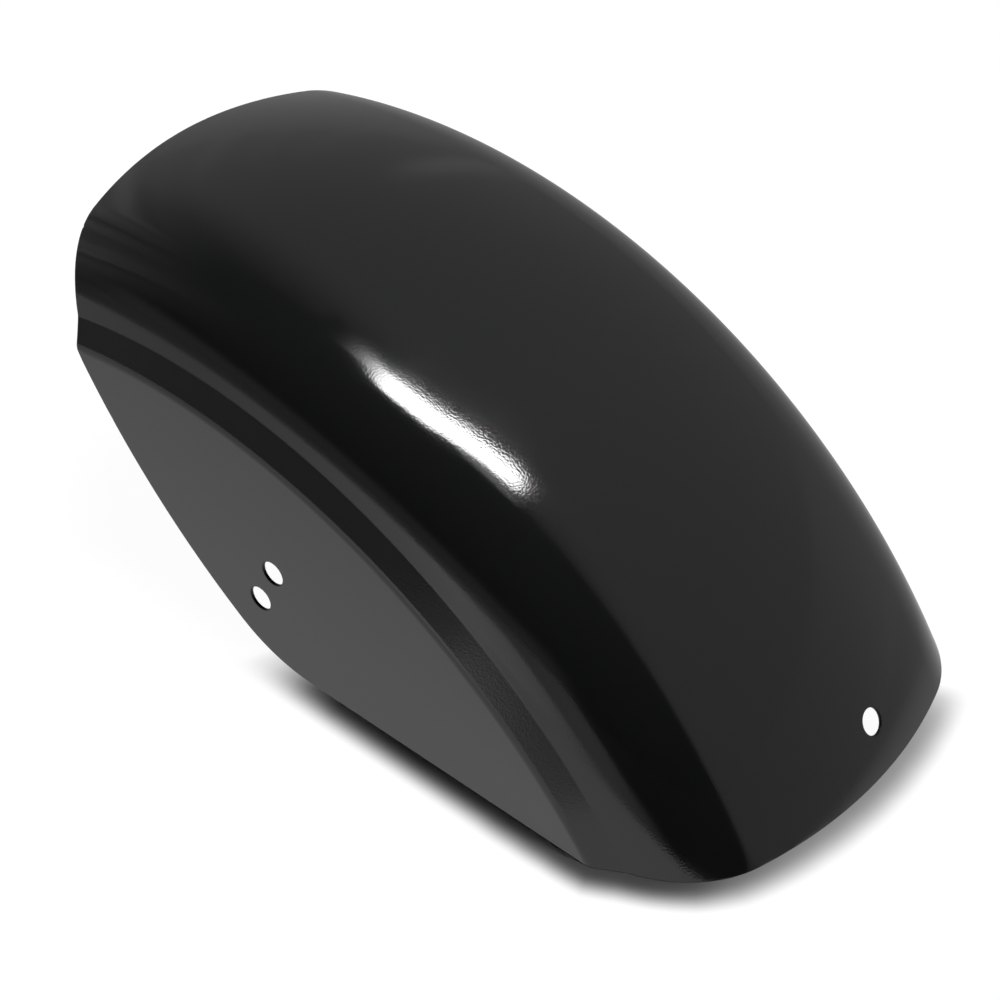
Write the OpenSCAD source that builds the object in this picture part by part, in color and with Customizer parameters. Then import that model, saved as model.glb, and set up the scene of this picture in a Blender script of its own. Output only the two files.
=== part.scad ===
// Short rear fender for a motorcycle, pressed from one piece of sheet steel.
// A bent sheet section is swept about the wheel axis and trimmed by its side view,
// with two bolt holes in each side wall and one wiring hole near the rear edge.
// Millimetres. +X is the rear of the fender, +Z is up, Y runs across it.

/* [Section] */
// Overall width over the two side walls
width = 210; // [196:1:224]
// Thickness of the steel sheet
sheet = 1.5; // [1.2:0.1:2]
// Outer radius of the crown on the centre line, from the wheel axis
crown_r = 331.5; // [326:0.5:337]
// Radius of the gentle arch across the crown
crown_arch = 253; // [235:1:270]
// Outer radius of the shoulder between the crown and the side
shoulder_r = 53; // [49:0.5:57]
// Lean of the shoulder at the crease below it, from upright
shoulder_lean = 25; // [20:0.5:29]
// Lean of the band between the crease and the side wall, from upright
band_lean = 36; // [32:0.5:40]
// Distance of the crease inward from the face of the side wall
crease_in = 7.8; // [6:0.1:10]
// Radius of the bend along the crease
crease_r = 8; // [6:0.5:10]
// Outer radius of the bend between the band and the side wall
wall_bend_r = 6; // [4:0.5:8]

/* [Side view] */
// Height of the straight bottom cut above the wheel axis
cut_height = 171; // [166:0.5:176]
// Start of the straight bottom cut behind the wheel axis
cut_start = 78.5; // [70:0.5:88]
// Radius of the round corner at the front of the bottom cut
corner_r = 69; // [60:0.5:78]
// Slope at which the round corner runs into the front lower edge
corner_slope = 35; // [30:0.5:40]
// Radius of the long curve of the front lower edge
low_edge_r = 305; // [280:1:330]
// Radius of the hollow trim across the front end
front_trim_r = 100; // [94:0.5:106]
// Distance of that trim's centre in front of the wheel axis
front_trim_x = 136; // [130:0.5:140]
// Height of that trim's centre above the bottom cut
front_trim_z = 59; // [55:0.5:63]

/* [Holes] */
// Diameter of the side bolt holes
bolt_d = 11; // [8:0.5:13]
// Distance between the two bolt holes of one side
bolt_gap = 20.4; // [17:0.1:24]
// Distance of the upper bolt hole behind the wheel axis
bolt_x = 60; // [52:0.5:68]
// Height of the upper bolt hole above the bottom cut
bolt_z = 49.8; // [44:0.1:58]
// Direction of the lower bolt hole from the upper one, forward of straight down
bolt_turn = 24; // [15:0.5:32]
// Diameter of the wiring hole in the crown
wire_d = 14; // [10:0.5:18]
// Height of the wiring hole above the bottom cut
wire_z = 18; // [14:0.5:26]
// Distance of the wiring hole to the far side of the centre line
wire_y = 13; // [0:0.5:20]

/* [Hidden] */
$fn = 96;
big = 500;

// the section, as [radius from the wheel axis, distance from the centre line]
function dir(a) = [cos(a), sin(a)];
arch_c = [crown_r - crown_arch, 0];
crease_a = 90 - shoulder_lean;
band_a = 90 - band_lean;
crease_y = width / 2 - crease_in;
shoulder_a = asin((crease_y - shoulder_r * sin(crease_a)) / (crown_arch - shoulder_r));
shoulder_c = arch_c + (crown_arch - shoulder_r) * dir(shoulder_a);
crease_c = shoulder_c + (shoulder_r + crease_r) * dir(crease_a);
band_top = crease_c - crease_r * dir(band_a);
wall_bend_y = width / 2 - wall_bend_r;
band_len = (wall_bend_y + wall_bend_r * sin(band_a) - band_top[1]) / cos(band_a);
band_end = band_top + band_len * dir(band_a + 90);
wall_bend_c = band_end - wall_bend_r * dir(band_a);
wall_foot = cut_height - 8;

// where two circles cross, on the right of the way from the first centre to the second
function meet(c0, r0, c1, r1) =
    let (gap = norm(c1 - c0), u = (c1 - c0) / gap,
         along = (r0 * r0 - r1 * r1 + gap * gap) / (2 * gap))
    c0 + along * u + sqrt(r0 * r0 - along * along) * [u[1], -u[0]];

// the side view, with the wheel axis at the origin
corner_c = [cut_start, cut_height + corner_r];
low_edge_c = corner_c + (low_edge_r - corner_r) * [sin(corner_slope), cos(corner_slope)];
trim_c = [-front_trim_x, cut_height + front_trim_z];
front_tip = meet([0, 0], crown_r, trim_c, front_trim_r);
front_foot = meet(trim_c, front_trim_r, low_edge_c, low_edge_r);
foot_slope = atan2(low_edge_c[0] - front_foot[0], low_edge_c[1] - front_foot[1]);
rear_x = sqrt(crown_r * crown_r - cut_height * cut_height);
mid_x = (front_tip[0] + rear_x) / 2;

// points along an arc of the section; a negative radius gives a hollow bend
function arc(c, r, a0, a1, n) = [for (i = [0 : n]) c + r * dir(a0 + (a1 - a0) * i / n)];

// one face of the sheet from the centre line to the foot of the side wall, t below the outer face
function face(t) = concat(
    arc(arch_c, crown_arch - t, 0, shoulder_a, 10),
    arc(shoulder_c, shoulder_r - t, shoulder_a, crease_a, 14),
    arc(crease_c, -crease_r - t, crease_a, band_a, 3),
    arc(wall_bend_c, wall_bend_r - t, band_a, 90, 6),
    [[wall_foot, width / 2 - t]]
);

function back(points) = [for (i = [len(points) - 1 : -1 : 0]) points[i]];
function far(points) = [for (i = [len(points) - 1 : -1 : 1]) [points[i][0], -points[i][1]]];

module section() {
    polygon(concat(far(face(0)), face(0), back(face(sheet)), back(far(face(sheet)))));
}

// outline of the fender seen from the side, without the front trim
module side_view() {
    polygon(concat(
        [[big, cut_height]],
        [for (i = [0 : 24]) let (a = corner_slope * i / 24)
            corner_c - corner_r * [sin(a), cos(a)]],
        [for (i = [1 : 16]) let (a = corner_slope + (foot_slope - corner_slope) * i / 16)
            low_edge_c - low_edge_r * [sin(a), cos(a)]],
        [[-big, front_foot[1]], [-big, big], [big, big]]
    ));
}

// stands up what is drawn flat, so that the wheel axis runs across
module stand() {
    rotate([90, 0, 0]) children();
}

module swept_sheet() {
    stand() rotate([0, 0, 20])
        rotate_extrude(angle = 100, $fn = 360) section();
}

module bolt_holes() {
    for (p = [[0, 0], bolt_gap * [-sin(bolt_turn), -cos(bolt_turn)]])
        stand() translate([bolt_x + p[0], cut_height + bolt_z + p[1], -width])
            cylinder(d = bolt_d, h = 2 * width);
}

module wire_hole() {
    wire_a = asin((cut_height + wire_z) / crown_r);
    stand() rotate([0, 0, wire_a]) translate([crown_r - 20, 0, -wire_y])
        rotate([0, 90, 0]) cylinder(d = wire_d, h = 40);
}

module fender_shell() {
    color([0.05, 0.05, 0.055])
        translate([-mid_x, 0, -cut_height])
            difference() {
                intersection() {
                    swept_sheet();
                    stand() translate([0, 0, -width])
                        linear_extrude(height = 2 * width) side_view();
                }
                stand() translate([trim_c[0], trim_c[1], -width])
                    cylinder(r = front_trim_r, h = 2 * width, $fn = 360);
                bolt_holes();
                wire_hole();
            }
}

fender_shell();
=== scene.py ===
import math
import bpy
from mathutils import Matrix, Vector
from mathutils.kdtree import KDTree


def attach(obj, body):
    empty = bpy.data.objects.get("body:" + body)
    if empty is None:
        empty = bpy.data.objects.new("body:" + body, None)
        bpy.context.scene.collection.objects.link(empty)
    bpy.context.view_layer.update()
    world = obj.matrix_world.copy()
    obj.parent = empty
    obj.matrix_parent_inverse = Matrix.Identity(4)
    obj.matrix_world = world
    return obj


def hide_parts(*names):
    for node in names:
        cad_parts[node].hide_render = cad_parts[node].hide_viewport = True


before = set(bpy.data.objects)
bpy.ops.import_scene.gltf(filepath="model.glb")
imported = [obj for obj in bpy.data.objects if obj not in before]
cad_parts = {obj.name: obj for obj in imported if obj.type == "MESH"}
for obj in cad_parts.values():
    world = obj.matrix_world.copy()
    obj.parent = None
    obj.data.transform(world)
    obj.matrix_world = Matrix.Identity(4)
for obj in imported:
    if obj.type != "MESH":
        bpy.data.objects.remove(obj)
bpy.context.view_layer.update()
print("frame loaded")

def deselectAll():
    bpy.ops.object.select_all(action="DESELECT")

def workOn(obj):
    deselectAll()
    obj.select_set(True)
    bpy.context.view_layer.objects.active = obj

def openMesh(obj):
    workOn(obj)
    bpy.ops.object.mode_set(mode="EDIT")
    bpy.ops.mesh.select_all(action="SELECT")

def closeMesh():
    bpy.ops.object.mode_set(mode="OBJECT")

def applyAll(obj):
    workOn(obj)
    for name in [m.name for m in obj.modifiers]:
        bpy.ops.object.modifier_apply(modifier=name)

# draws a line of points by hand: one vertex, extruded from point to point
def drawLine(name, points):
    deselectAll()
    bpy.ops.mesh.primitive_plane_add(size=0.01, location=points[0])
    line = bpy.context.object
    line.name = name
    bpy.ops.object.transform_apply(location=True, rotation=True, scale=True)
    openMesh(line)
    bpy.ops.mesh.merge(type="CENTER")
    for last, point in zip(points, points[1:]):
        step = Vector(point) - Vector(last)
        bpy.ops.mesh.extrude_vertices_move(TRANSFORM_OT_translate={"value": step})
    closeMesh()
    return line

# the point that lies so far from another, at an angle in degrees
def offset(point, angle, length):
    turn = math.radians(angle)
    return point[0] + length * math.cos(turn), point[1] + length * math.sin(turn)

def arcPoints(centre, radius, start, end, count):
    return [offset(centre, start + (end - start) * i / count, radius) for i in range(count + 1)]

def angleTo(point, centre):
    return math.degrees(math.atan2(point[1] - centre[1], point[0] - centre[0]))

cameraSettings = {
    "place": (0.46786, -0.55820, 0.66921),
    "right": (0.755294, 0.655287, 0.011398),
    "up": (-0.434002, 0.487054, 0.757905),
    "back": (0.491094, -0.577388, 0.652265),
    "lens": 81.97,
    "sensor": 36,
    "nearest": 0.05,
}

def makeCamera(s):
    data = bpy.data.cameras.new("camera")
    data.lens = s["lens"]
    data.sensor_width = s["sensor"]
    data.clip_start = s["nearest"]
    camera = bpy.data.objects.new("camera", data)
    bpy.context.collection.objects.link(camera)
    turn = Matrix((s["right"], s["up"], s["back"])).transposed().to_4x4()
    camera.matrix_world = Matrix.Translation(s["place"]) @ turn
    bpy.context.scene.camera = camera

makeCamera(cameraSettings)
print("camera placed")

noiseRange = (0.3, 0.7)                # most of what a noise texture gives
mottleRange = (0.35, 0.65)

paintSettings = {
    "colour": (0.0080, 0.0082, 0.0085),
    "mottle": 0.20,
    "mottleScale": 1500,               # per metre
    "roughness": 0.085,
    "glossSpread": (0.75, 1.3),        # how far the roughness wanders, as shares of it
    "glossScale": 30,
    "ior": 1.5,
    "peelScale": 1300,
    "peelDepth": 0.000021,
}

edgePaintSettings = {
    "colour": (0.004, 0.004, 0.004),
    "mottle": 0.4,
    "roughness": 0.38,
    "glossSpread": (0.8, 1.2),
    "ior": 1.3,
    "grainScale": 1500,
}

def newPaint(name, s):
    paint = bpy.data.materials.new(name)
    paint.use_nodes = True
    shader = paint.node_tree.nodes["Principled BSDF"]
    shader.inputs["IOR"].default_value = s["ior"]
    return paint, paint.node_tree.nodes, paint.node_tree.links, shader

# sets a socket to a number, or links another node's output to it
def feed(links, given, socket):
    if isinstance(given, (int, float)):
        socket.default_value = given
    else:
        links.new(given, socket)

def addNoise(nodes, links, scale, detail):
    place = nodes.new("ShaderNodeTexCoord")
    noise = nodes.new("ShaderNodeTexNoise")
    noise.inputs["Scale"].default_value = scale
    noise.inputs["Detail"].default_value = detail
    links.new(place.outputs["Object"], noise.inputs["Vector"])
    return noise.outputs["Fac"]

def addRange(nodes, links, value, fromMin, fromMax, toMin, toMax, blend="LINEAR"):
    spread = nodes.new("ShaderNodeMapRange")
    spread.interpolation_type = blend
    names = ("Value", "From Min", "From Max", "To Min", "To Max")
    for name, given in zip(names, (value, fromMin, fromMax, toMin, toMax)):
        feed(links, given, spread.inputs[name])
    return spread.outputs["Result"]

def addMottle(nodes, links, noise, s, shader):
    tone = nodes.new("ShaderNodeValToRGB")
    levels = (1 - s["mottle"], 1 + s["mottle"])
    for element, place, level in zip(tone.color_ramp.elements, mottleRange, levels):
        element.position = place
        element.color = [c * level for c in s["colour"]] + [1]
    links.new(noise, tone.inputs["Fac"])
    links.new(tone.outputs["Color"], shader.inputs["Base Color"])

def addGloss(nodes, links, noise, s, shader):
    low, high = [share * s["roughness"] for share in s["glossSpread"]]
    links.new(addRange(nodes, links, noise, *noiseRange, low, high), shader.inputs["Roughness"])

# gloss black over pressed steel, sprayed and a little uneven
def makePaint(s):
    paint, nodes, links, shader = newPaint("glossBlackPaint", s)
    addMottle(nodes, links, addNoise(nodes, links, s["mottleScale"], 2), s, shader)
    addGloss(nodes, links, addNoise(nodes, links, s["glossScale"], 4), s, shader)
    bump = nodes.new("ShaderNodeBump")
    bump.inputs["Strength"].default_value = 1
    bump.inputs["Distance"].default_value = s["peelDepth"]
    links.new(addNoise(nodes, links, s["peelScale"], 1), bump.inputs["Height"])
    links.new(bump.outputs["Normal"], shader.inputs["Normal"])
    return paint

# thinner, duller paint over the cut edges
def makeEdgePaint(s):
    paint, nodes, links, shader = newPaint("edgePaint", s)
    grain = addNoise(nodes, links, s["grainScale"], 3)
    addMottle(nodes, links, grain, s, shader)
    addGloss(nodes, links, grain, s, shader)
    return paint

shellSettings = {
    "axis": (-0.0968348, -0.171),      # wheel axis, as X and Z
    "width": 0.210,
    "sheet": 0.0015,
    "crownRadius": 0.3315,
    "archRadius": 0.253,
    "shoulderRadius": 0.053,
    "shoulderEnd": 65,                 # section angle where the shoulder meets the crease
    "creaseIn": 0.0078,
    "creaseRadius": 0.008,
    "bandAngle": 54,
    "wallBend": 0.006,
    "wallFoot": 0.163,                 # radius where the swept wall stops, below the trim
    "steps": {"crown": 26, "shoulder": 26, "crease": 4, "bend": 8, "wall": 24},
    "sweepFrom": 29.0,
    "sweepTo": 108.0,
    "sweepSteps": 210,
    "sweepMerge": 0.00002,
    "cutMerge": 0.00003,
    "cutRoom": 0.0007,
    "spotGap": 0.0003,
    "shortestEdge": 0.00025,
    "edgeRound": 0.0004,
    "edgeSteps": 3,
    "edgeAngle": 30,
    "smoothAngle": 35,
    "leadWeight": 80,
}

trimSettings = {
    "cutHeight": 0.171,                # heights from the wheel axis
    "cutStart": 0.0785,
    "cornerRadius": 0.069,
    "cornerSlope": 35,
    "lowEdgeRadius": 0.305,
    "frontRadius": 0.100,
    "frontCentre": (-0.136, 0.230),
    "pastTip": 12,                     # how much farther the front arc runs, in degrees
    "beyond": (0.36, 0.40),            # a corner well behind and above the fender
    "steps": {"corner": 28, "lowEdge": 24, "front": 64},
}

holeSettings = {
    "sides": 96,
    "boltRadius": 0.0055,
    "boltDepth": 0.3,
    "bolts": [(0.060, 0.2208), (0.051703, 0.202164)],
    "wireRadius": 0.0056,
    "wireDepth": 0.04,
    "wireAngle": 34.7583,
    "wireSide": 0.015,
}

# half of the section, from the crown to the wall's foot, as radius and distance from the middle
def sectionHalf(s):
    steps = s["steps"]
    bandTurn = math.radians(s["bandAngle"])
    reach = s["archRadius"] - s["shoulderRadius"]
    shoulderDrop = s["shoulderRadius"] * math.sin(math.radians(s["shoulderEnd"]))
    creaseSide = s["width"] / 2 - s["creaseIn"]
    shoulderStart = math.degrees(math.asin((creaseSide - shoulderDrop) / reach))
    arch = (s["crownRadius"] - s["archRadius"], 0)
    shoulder = offset(arch, shoulderStart, reach)
    crease = offset(shoulder, s["shoulderEnd"], s["shoulderRadius"] + s["creaseRadius"])
    bandTop = offset(crease, s["bandAngle"], -s["creaseRadius"])
    bandEdge = s["width"] / 2 - s["wallBend"] + s["wallBend"] * math.sin(bandTurn)
    bandEnd = offset(bandTop, s["bandAngle"] + 90, (bandEdge - bandTop[1]) / math.cos(bandTurn))
    bend = offset(bandEnd, s["bandAngle"], -s["wallBend"])
    half = arcPoints(arch, s["archRadius"], 0, shoulderStart, steps["crown"])
    half += arcPoints(shoulder, s["shoulderRadius"], shoulderStart, s["shoulderEnd"], steps["shoulder"])[1:]
    half += arcPoints(crease, -s["creaseRadius"], s["shoulderEnd"], s["bandAngle"], steps["crease"])[1:]
    half += arcPoints(bend, s["wallBend"], s["bandAngle"], 90, steps["bend"])
    top, count = half[-1][0], steps["wall"]
    half += [(top + (s["wallFoot"] - top) * i / count, s["width"] / 2) for i in range(1, count + 1)]
    return half

# where two circles cross, on the right of the way from the first centre to the second
def circlesMeet(c0, r0, c1, r1):
    gap = Vector(c1) - Vector(c0)
    along = (r0 ** 2 - r1 ** 2 + gap.length ** 2) / (2 * gap.length)
    u = gap.normalized()
    side = math.sqrt(r0 ** 2 - along ** 2)
    return c0[0] + along * u.x + side * u.y, c0[1] + along * u.y - side * u.x

# the side view that is kept of the swept sheet
def sideOutline(s, t):
    steps = t["steps"]
    front = t["frontCentre"]
    corner = (t["cutStart"], t["cutHeight"] + t["cornerRadius"])
    slope = math.radians(t["cornerSlope"])
    reach = t["lowEdgeRadius"] - t["cornerRadius"]
    lowEdge = (corner[0] + reach * math.sin(slope), corner[1] + reach * math.cos(slope))
    foot = circlesMeet(front, t["frontRadius"], lowEdge, t["lowEdgeRadius"])
    tip = circlesMeet((0, 0), s["crownRadius"], front, t["frontRadius"])
    cornerEnd = 270 - t["cornerSlope"]
    lowEdgeEnd = angleTo(foot, lowEdge) % 360
    line = arcPoints(corner, t["cornerRadius"], 270, cornerEnd, steps["corner"])
    line += arcPoints(lowEdge, t["lowEdgeRadius"], cornerEnd, lowEdgeEnd, steps["lowEdge"])[1:]
    line += arcPoints(front, t["frontRadius"], angleTo(foot, front), angleTo(tip, front) + t["pastTip"],
                      steps["front"])[1:]
    rear, top = t["beyond"]
    line += [(line[-1][0], top), (rear, top), (rear, t["cutHeight"])]
    return line

def makeCutter(name, outline, s, finish):
    axisX, axisZ = s["axis"]
    cutter = drawLine(name, [(x + axisX, -s["width"], z + axisZ) for x, z in outline])
    openMesh(cutter)
    bpy.ops.mesh.edge_face_add()
    bpy.ops.mesh.extrude_region_move(TRANSFORM_OT_translate={"value": (0, 2 * s["width"], 0)})
    bpy.ops.mesh.select_all(action="SELECT")
    bpy.ops.mesh.normals_make_consistent(inside=False)
    closeMesh()
    cutter.data.materials.append(finish)
    return cutter

def cutWith(obj, cutter, operation):
    cut = obj.modifiers.new("cut", "BOOLEAN")
    cut.operation = operation
    cut.solver = "EXACT"
    cut.material_mode = "TRANSFER"     # a cut face takes the cutter's finish
    cut.object = cutter
    applyAll(obj)
    bpy.data.objects.remove(cutter, do_unlink=True)

def cutHole(obj, place, turn, radius, depth, sides, finish):
    deselectAll()
    bpy.ops.mesh.primitive_cylinder_add(vertices=sides, radius=radius, depth=depth,
                                        location=place, rotation=turn)
    bpy.context.object.data.materials.append(finish)
    cutWith(obj, bpy.context.object, "DIFFERENCE")

# drops the skin's own points close beside a cut, so that its rounding has room
def clearBesideCuts(obj, s):
    mesh = obj.data
    cutFaces = [face for face in mesh.polygons if face.material_index == 1]
    onCut = {v for face in cutFaces for v in face.vertices}
    spots = []
    for a, b in {key for face in cutFaces for key in face.edge_keys}:
        start, end = mesh.vertices[a].co, mesh.vertices[b].co
        steps = int((end - start).length / s["spotGap"]) + 1
        spots += [start.lerp(end, i / steps) for i in range(steps + 1)]
    tree = KDTree(len(spots))
    for i, spot in enumerate(spots):
        tree.insert(spot, i)
    tree.balance()
    openMesh(obj)
    bpy.ops.mesh.select_mode(type="VERT")
    bpy.ops.mesh.select_all(action="DESELECT")
    closeMesh()
    for v in mesh.vertices:
        v.select = v.index not in onCut and tree.find(v.co)[2] < s["cutRoom"]
    bpy.ops.object.mode_set(mode="EDIT")
    bpy.ops.mesh.dissolve_verts()
    bpy.ops.mesh.select_all(action="SELECT")
    bpy.ops.mesh.dissolve_degenerate(threshold=s["shortestEdge"])
    closeMesh()

def sweepSection(s):
    half = sectionHalf(s)
    section = [(r, -y) for r, y in half[:0:-1]] + half
    axisX, axisZ = s["axis"]
    start = math.radians(s["sweepFrom"])
    shell = drawLine("fenderShell", [(axisX + r * math.cos(start), y, axisZ + r * math.sin(start))
                                     for r, y in section])
    openMesh(shell)
    bpy.ops.mesh.spin(steps=s["sweepSteps"], angle=math.radians(s["sweepTo"] - s["sweepFrom"]),
                      center=(axisX, 0, axisZ), axis=(0, 1, 0))
    bpy.ops.mesh.select_all(action="SELECT")
    bpy.ops.mesh.remove_doubles(threshold=s["sweepMerge"])
    bpy.ops.mesh.normals_make_consistent(inside=False)
    closeMesh()
    top = max(shell.data.polygons, key=lambda face: face.center.z)
    if top.normal.z < 0:
        openMesh(shell)
        bpy.ops.mesh.flip_normals()
        closeMesh()
    return shell

def makeShell(s, t, h, paint, edgePaint):
    shell = sweepSection(s)
    print("section swept", len(shell.data.polygons), "faces")
    shell.data.materials.append(paint)
    shell.data.materials.append(edgePaint)
    wall = shell.modifiers.new("wall", "SOLIDIFY")
    wall.thickness = s["sheet"]
    wall.offset = -1
    wall.use_even_offset = True
    applyAll(shell)
    cutWith(shell, makeCutter("sideTrim", sideOutline(s, t), s, edgePaint), "INTERSECT")
    print("trimmed", len(shell.data.polygons), "faces")
    axisX, axisZ = s["axis"]
    for x, z in h["bolts"]:
        cutHole(shell, (x + axisX, 0, z + axisZ), (math.pi / 2, 0, 0),
                h["boltRadius"], h["boltDepth"], h["sides"], edgePaint)
    wireX, wireZ = offset(s["axis"], h["wireAngle"], s["crownRadius"])
    cutHole(shell, (wireX, h["wireSide"], wireZ), (0, math.radians(90 - h["wireAngle"]), 0),
            h["wireRadius"], h["wireDepth"], h["sides"], edgePaint)
    print("holes cut", len(shell.data.polygons), "faces")
    openMesh(shell)
    bpy.ops.mesh.remove_doubles(threshold=s["cutMerge"])
    bpy.ops.mesh.dissolve_degenerate(threshold=s["cutMerge"])
    closeMesh()
    clearBesideCuts(shell, s)
    edge = shell.modifiers.new("edge", "BEVEL")
    edge.width = s["edgeRound"]
    edge.segments = s["edgeSteps"]
    edge.limit_method = "ANGLE"
    edge.angle_limit = math.radians(s["edgeAngle"])
    edge.use_clamp_overlap = False
    edge.loop_slide = False
    edge.material = 1
    applyAll(shell)
    bpy.ops.object.shade_smooth_by_angle(angle=math.radians(s["smoothAngle"]))
    # the wide faces of the skin lead the shading, not the narrow rounding beside them
    lead = shell.modifiers.new("lead", "WEIGHTED_NORMAL")
    lead.weight = s["leadWeight"]
    lead.keep_sharp = True
    applyAll(shell)
    return shell

fenderShell = makeShell(shellSettings, trimSettings, holeSettings,
                        makePaint(paintSettings), makeEdgePaint(edgePaintSettings))
print("fender shell made", len(fenderShell.data.polygons), "faces", fenderShell.dimensions)

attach(fenderShell, "root")
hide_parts("fender_shell")
print("fender shell handed over")

studioSettings = {
    "floorRadius": 2.5,
    "rimHeight": 0.76,
    "sides": 128,
    "floorColour": 0.06,
    "floorLift": 0.97,                 # white as the camera sees it
    # what gloss sees of the table: its level in front, at the rear and on the far side
    "nearGlow": (0.70, 0.96, 0.37),
    "glowAlong": (-0.35, 0.1),
    "glowAcross": (-0.05, 0.15),
    "glowEdge": (0.5, 1.2),            # distances over which the rim's level takes over
    "shadowReach": 0.0162,
    "shadowCurve": 2.2,
    "shadowEnd": -0.008,               # no painted shadow farther in than this
    # where the steel stands: its distance by bearing from this far back on the middle line
    "standCentre": 0.083,
    "standOutline": ((-180, 0.1042), (0, 0.1042), (10, 0.1050), (20, 0.1075), (30, 0.1118), (38, 0.1158),
                     (46, 0.1170), (54, 0.1157), (60, 0.1143), (66, 0.1146), (70, 0.1120), (75, 0.1088),
                     (82, 0.1062), (90, 0.1050), (180, 0.1050)),
    # tone of the painted contact shadow at the steel, by bearing from +X
    "shadowTone": ((-180, 1), (-114, 1), (-108, 0.82), (-103, 0.58), (-98, 0.32), (-90, 0.12), (-69, 0.04),
                   (-52, 0.04), (-40, 0.03), (-33, 0.0), (-30, 0.06), (-27, 0.18), (-23, 0.36), (-19, 0.41),
                   (-15, 0.46), (-8, 0.49), (0, 0.50), (8, 0.53), (12, 0.56), (15, 0.62), (18, 0.75), (21, 1),
                   (44, 1), (52, 0.15), (90, 0.15), (98, 0.32), (103, 0.58), (108, 0.82), (114, 1), (180, 1)),
    # what gloss sees of the low wall round the table, by bearing: its level and height, and the haze's
    "rimLevel": ((-180, 0.70), (-150, 0.66), (-125, 0.66), (-110, 0.9), (-100, 1.1), (-90, 1.35),
                 (-80, 1.1), (-72, 0.85), (-66, 0.65), (-58, 0.42), (-50, 0.2), (-42, 0.03), (0, 0.03),
                 (5, 0.38), (60, 0.46), (110, 0.36), (140, 0.36), (172, 0.36), (180, 0.70)),
    "rimTop": ((-180, 0.28), (-155, 0.30), (-140, 0.45), (-125, 0.55), (-100, 0.60), (-80, 0.55),
               (-76, 0.40), (-71, 0.13), (-67, 0.0), (0, 0.0), (5, 0.76), (172, 0.76), (180, 0.28)),
    "rimHaze": ((-180, 0.10), (-150, 0.12), (-141, 0.20), (-110, 0.24), (-90, 0.32), (-75, 0.42),
                (-66, 0.48), (-58, 0.4), (-50, 0.22), (-42, 0.05), (0, 0.03), (5, 0.38), (60, 0.44),
                (110, 0.36), (140, 0.34), (172, 0.34), (180, 0.10)),
    "hazeTop": ((-180, 1), (-66, 1), (-62, 0.65), (-58, 0.45), (-55, 0.27), (-48, 0.13), (-42, 0.0),
                (0, 0.0), (5, 1), (180, 1)),
    "rimBlur": 0.05,
    "rimDim": 0.06,                    # share that is left above the haze
}

def grey(level):
    return level, level, level, 1

def stagePaint(name, colour):
    paint = bpy.data.materials.new(name)
    paint.use_nodes = True
    nodes, links = paint.node_tree.nodes, paint.node_tree.links
    nodes.clear()
    out = nodes.new("ShaderNodeOutputMaterial")
    matt = nodes.new("ShaderNodeBsdfDiffuse")
    matt.inputs["Color"].default_value = grey(colour)
    glow = nodes.new("ShaderNodeEmission")
    add = nodes.new("ShaderNodeAddShader")
    links.new(matt.outputs[0], add.inputs[0])
    links.new(glow.outputs[0], add.inputs[1])
    links.new(add.outputs[0], out.inputs["Surface"])
    return paint, nodes, links, glow.inputs["Strength"]

def addMath(nodes, links, operation, a, b=0.0):
    maths = nodes.new("ShaderNodeMath")
    maths.operation = operation
    for given, socket in zip((a, b), maths.inputs):
        feed(links, given, socket)
    return maths.outputs[0]

def addProduct(nodes, links, product, *others):
    for other in others:
        product = addMath(nodes, links, "MULTIPLY", product, other)
    return product

# one level for the camera, another for gloss and glass
def splitGlow(nodes, links, strength, seen, mirrored):
    path = nodes.new("ShaderNodeLightPath").outputs
    bounced = addMath(nodes, links, "MAXIMUM", path["Is Glossy Ray"], path["Is Transmission Ray"])
    links.new(addMath(nodes, links, "ADD", addProduct(nodes, links, path["Is Camera Ray"], seen),
                      addProduct(nodes, links, bounced, mirrored)), strength)

def addPlace(nodes, links, output="Object"):
    place = nodes.new("ShaderNodeTexCoord")
    split = nodes.new("ShaderNodeSeparateXYZ")
    links.new(place.outputs[output], split.inputs[0])
    return split.outputs["X"], split.outputs["Y"], split.outputs["Z"]

def addLength(nodes, links, a, b):
    squares = addMath(nodes, links, "ADD", addProduct(nodes, links, a, a), addProduct(nodes, links, b, b))
    return addMath(nodes, links, "SQRT", squares)

# a level looked up by bearing from +X, in degrees
def addBearing(nodes, links, x, y, stops):
    turn = addMath(nodes, links, "ARCTAN2", y, x)
    ramp = nodes.new("ShaderNodeValToRGB")
    links.new(addRange(nodes, links, turn, -math.pi, math.pi, 0, 1), ramp.inputs["Fac"])
    marks = ramp.color_ramp.elements
    for bearing, level in stops[1:-1]:
        marks.new(bearing / 360 + 0.5).color = grey(level)
    marks[0].color = grey(stops[0][1])
    marks[len(marks) - 1].color = grey(stops[-1][1])
    return ramp.outputs["Color"]
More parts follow.
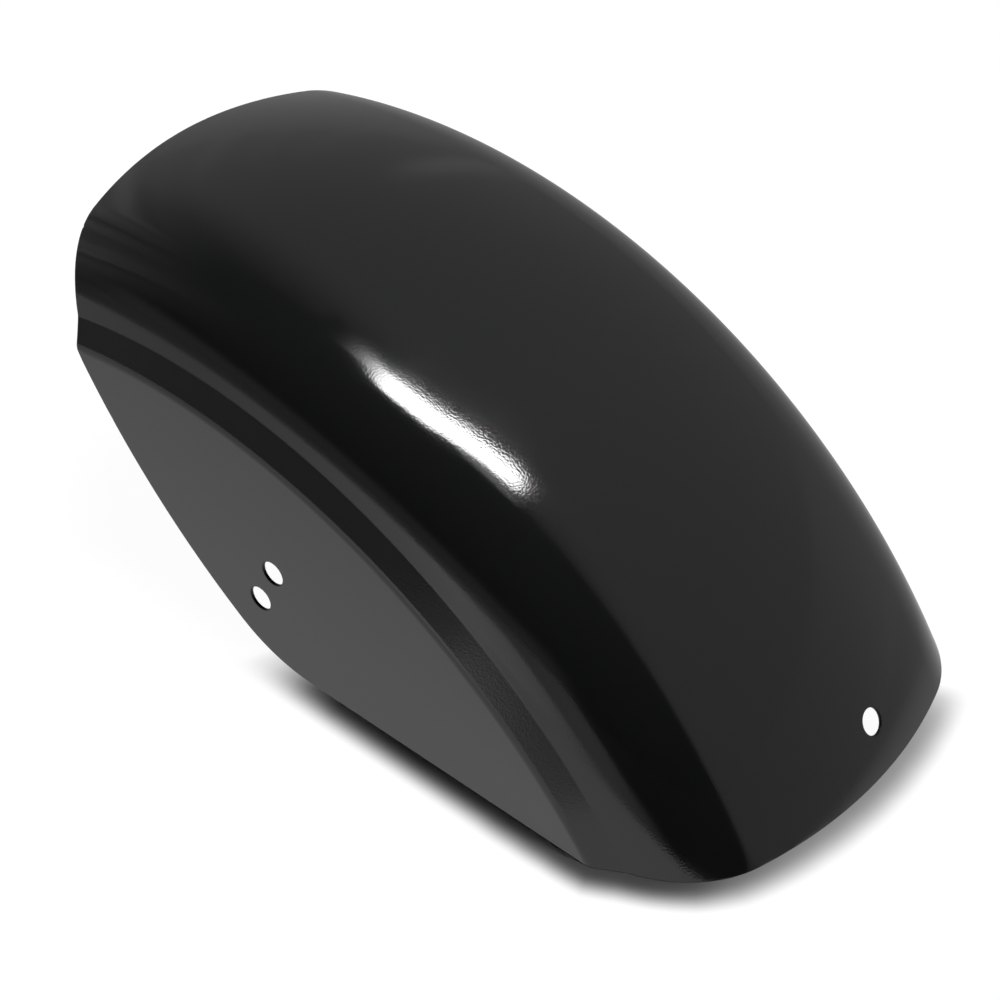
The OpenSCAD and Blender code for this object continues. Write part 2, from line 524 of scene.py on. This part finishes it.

# white with a painted contact shadow, drawn from the distance to where the steel stands: soft and dark under the
# near side, paler behind the rear edge
def makeFloorPaint(s):
    paint, nodes, links, strength = stagePaint("paleFloor", s["floorColour"])
    x, y = addPlace(nodes, links)[:2]
    side = addMath(nodes, links, "ABSOLUTE", y)
    back = addMath(nodes, links, "MAXIMUM", addMath(nodes, links, "SUBTRACT", x, s["standCentre"]), 0.0)
    out = addMath(nodes, links, "SUBTRACT", addLength(nodes, links, back, side),
                  addBearing(nodes, links, back, side, s["standOutline"]))
    # painted shadow: the floor's camera glow darkens as it nears the steel's footing
    away = addRange(nodes, links, out, 0.0, s["shadowReach"], 0, 1, "SMOOTHSTEP")
    tone = addRange(nodes, links, away, 0, 1, addBearing(nodes, links, x, y, s["shadowTone"]), 1)
    white = addMath(nodes, links, "MAXIMUM", addMath(nodes, links, "LESS_THAN", out, s["shadowEnd"]),
                    addMath(nodes, links, "POWER", tone, s["shadowCurve"]))
    front, rear, far = s["nearGlow"]
    near = addProduct(nodes, links, addRange(nodes, links, x, *s["glowAlong"], front, rear),
                      addRange(nodes, links, y, *s["glowAcross"], 1, far / rear))
    glow = nodes.new("ShaderNodeMix")
    edge = addRange(nodes, links, addLength(nodes, links, x, y), *s["glowEdge"], 0, 1)
    links.new(edge, glow.inputs["Factor"])
    links.new(near, glow.inputs["A"])
    links.new(addBearing(nodes, links, x, y, s["rimLevel"]), glow.inputs["B"])
    splitGlow(nodes, links, strength, addProduct(nodes, links, white, s["floorLift"]), glow.outputs["Result"])
    return paint

def makeRimPaint(s):
    paint, nodes, links, strength = stagePaint("paleRim", s["floorColour"])
    x, y, z = addPlace(nodes, links)
    level, haze, top, hazeTop = [addBearing(nodes, links, x, y, s[name])
                                 for name in ("rimLevel", "rimHaze", "rimTop", "hazeTop")]
    blur = s["rimBlur"]
    above = addMath(nodes, links, "SUBTRACT", z, top)
    over = addMath(nodes, links, "SUBTRACT", z, hazeTop)
    glow = addRange(nodes, links, above, -blur, blur, level, haze, "SMOOTHSTEP")
    fade = addRange(nodes, links, over, -blur, blur, 1, s["rimDim"])
    splitGlow(nodes, links, strength, 1.0, addProduct(nodes, links, glow, fade))
    return paint

def makeStage(s):
    deselectAll()
    bpy.ops.mesh.primitive_circle_add(vertices=s["sides"], radius=s["floorRadius"], fill_type="NGON")
    floor = bpy.context.object
    floor.name = "studioFloor"
    floor.data.materials.append(makeFloorPaint(s))
    deselectAll()
    bpy.ops.mesh.primitive_cylinder_add(vertices=s["sides"], radius=s["floorRadius"], depth=s["rimHeight"],
                                        end_fill_type="NOTHING", location=(0, 0, s["rimHeight"] / 2))
    rim = bpy.context.object
    rim.name = "studioRim"
    bpy.ops.object.transform_apply(location=True, rotation=True, scale=True)
    bpy.ops.object.shade_smooth()
    rim.data.materials.append(makeRimPaint(s))

# levels, and the shares of a direction over which each comes in
roomSettings = {
    "farLevel": 0.40,
    "farFront": 0.8,                   # the share of it toward the front
    "farFade": (-0.6, 0.2),
    "farStart": 0.06,
    "farLean": (0.25, -0.08),          # how its border leans with X in front, and with Z
    "farBlur": (0.2, 0.7, 0.11, 0.025),
    "hazeLevel": 0.20,
    "hazeTop": (0.36, 0.43),
    "hazeRear": (0.5, 0.36),
    "hazeFront": (-0.88, -0.72),
    "panelLevel": 0.5,
    "panelDull": 0.2,                  # the share of it between the streaks
    "panelTop": (0.4, 0.78),
    "panelSide": (-0.6, -0.3),
    "panelRear": (-0.2, -0.5),
    "streakScale": 13,
    "streakDetail": 3,
    "streakLean": 0.72,
}

# a dim room, paler on the far side of the fender, with a dull streaky panel low in front of it
def makeRoom(s):
    room = bpy.data.worlds.new("room")
    bpy.context.scene.world = room
    room.use_nodes = True
    nodes, links = room.node_tree.nodes, room.node_tree.links
    x, y, z = addPlace(nodes, links, "Generated")
    leanX, leanZ = s["farLean"]
    lean = addMath(nodes, links, "ADD", addProduct(nodes, links, z, leanZ),
                   addProduct(nodes, links, addMath(nodes, links, "MINIMUM", x, 0.0), leanX))
    side = addMath(nodes, links, "SUBTRACT", addMath(nodes, links, "ADD", y, lean), s["farStart"])
    past = addMath(nodes, links, "DIVIDE", side, addRange(nodes, links, x, *s["farBlur"]))
    paler = addRange(nodes, links, x, *s["farFade"], s["farFront"] * s["farLevel"], s["farLevel"])
    far = addRange(nodes, links, past, -1, 1, 0.0, paler, "SMOOTHSTEP")
    haze = addProduct(nodes, links, addRange(nodes, links, z, *s["hazeTop"], s["hazeLevel"], 0.0),
                      addRange(nodes, links, x, *s["hazeRear"], 0, 1),
                      addRange(nodes, links, x, *s["hazeFront"], 0, 1))
    streaks = nodes.new("ShaderNodeTexNoise")
    streaks.noise_dimensions = "1D"
    streaks.inputs["Scale"].default_value = s["streakScale"]
    streaks.inputs["Detail"].default_value = s["streakDetail"]
    links.new(addMath(nodes, links, "ADD", y, addProduct(nodes, links, z, s["streakLean"])), streaks.inputs["W"])
    dull = addRange(nodes, links, streaks.outputs["Fac"], *noiseRange,
                    s["panelDull"] * s["panelLevel"], s["panelLevel"])
    panel = addProduct(nodes, links, dull, addRange(nodes, links, z, *s["panelTop"], 1, 0),
                       addRange(nodes, links, y, *s["panelSide"], 0, 1),
                       addRange(nodes, links, x, *s["panelRear"], 0, 1))
    level = addMath(nodes, links, "MAXIMUM", far, addMath(nodes, links, "MAXIMUM", haze, panel))
    seen = nodes.new("ShaderNodeLightPath").outputs["Is Camera Ray"]
    background = nodes["Background"]
    background.inputs["Color"].default_value = grey(1)
    links.new(addMath(nodes, links, "MAXIMUM", level, seen), background.inputs["Strength"])

# the big softbox overhead, seen in the shoulder as one long highlight
softboxSettings = {
    "height": 1.2,
    "level": 34,
    "skirt": (-0.42, -0.10),           # where its light begins, and where it is full
    "skirtCurve": 5.0,
    "outline": [(-0.42, -0.06), (-0.17, -0.06), (-0.16, -0.13), (-0.10, -0.20), (0.06, -0.17),
                (0.17, -0.07), (0.27, 0.03), (0.44, 0.11), (0.46, 0.155), (0.38, 0.175), (0.20, 0.14),
                (0.05, 0.105), (-0.12, 0.085), (-0.42, 0.19)],
}

def makeSoftbox(s):
    box = drawLine("softbox", [(x, y, s["height"]) for x, y in s["outline"]])
    openMesh(box)
    bpy.ops.mesh.edge_face_add()
    closeMesh()
    cloth = bpy.data.materials.new("litCloth")
    cloth.use_nodes = True
    nodes, links = cloth.node_tree.nodes, cloth.node_tree.links
    nodes.clear()
    glow = nodes.new("ShaderNodeEmission")
    full = addRange(nodes, links, addPlace(nodes, links)[0], *s["skirt"], 0, 1)
    level = addMath(nodes, links, "POWER", full, s["skirtCurve"])
    links.new(addProduct(nodes, links, level, s["level"]), glow.inputs["Strength"])
    links.new(glow.outputs[0], nodes.new("ShaderNodeOutputMaterial").inputs["Surface"])
    box.data.materials.append(cloth)
    box.visible_camera = False

tailSettings = {
    "place": (0.33, -0.01, 1.21),
    "size": (0.28, 0.12),
    "turn": 20,                        # about the vertical
    "level": 2,                        # how bright its face is
}

def makeLamp(name, s):
    data = bpy.data.lights.new(name, "AREA")
    data.shape = "RECTANGLE"
    width, depth = s["size"]
    data.size, data.size_y = width, depth
    data.energy = s["level"] * math.pi * width * depth
    lamp = bpy.data.objects.new(name, data)
    bpy.context.collection.objects.link(lamp)
    lamp.location = s["place"]
    lamp.rotation_euler = (0, 0, math.radians(s["turn"]))
    lamp.visible_camera = False

makeStage(studioSettings)
makeRoom(roomSettings)
makeSoftbox(softboxSettings)
makeLamp("softboxTail", tailSettings)
bpy.context.scene.view_settings.view_transform = "Standard"
print("studio set")
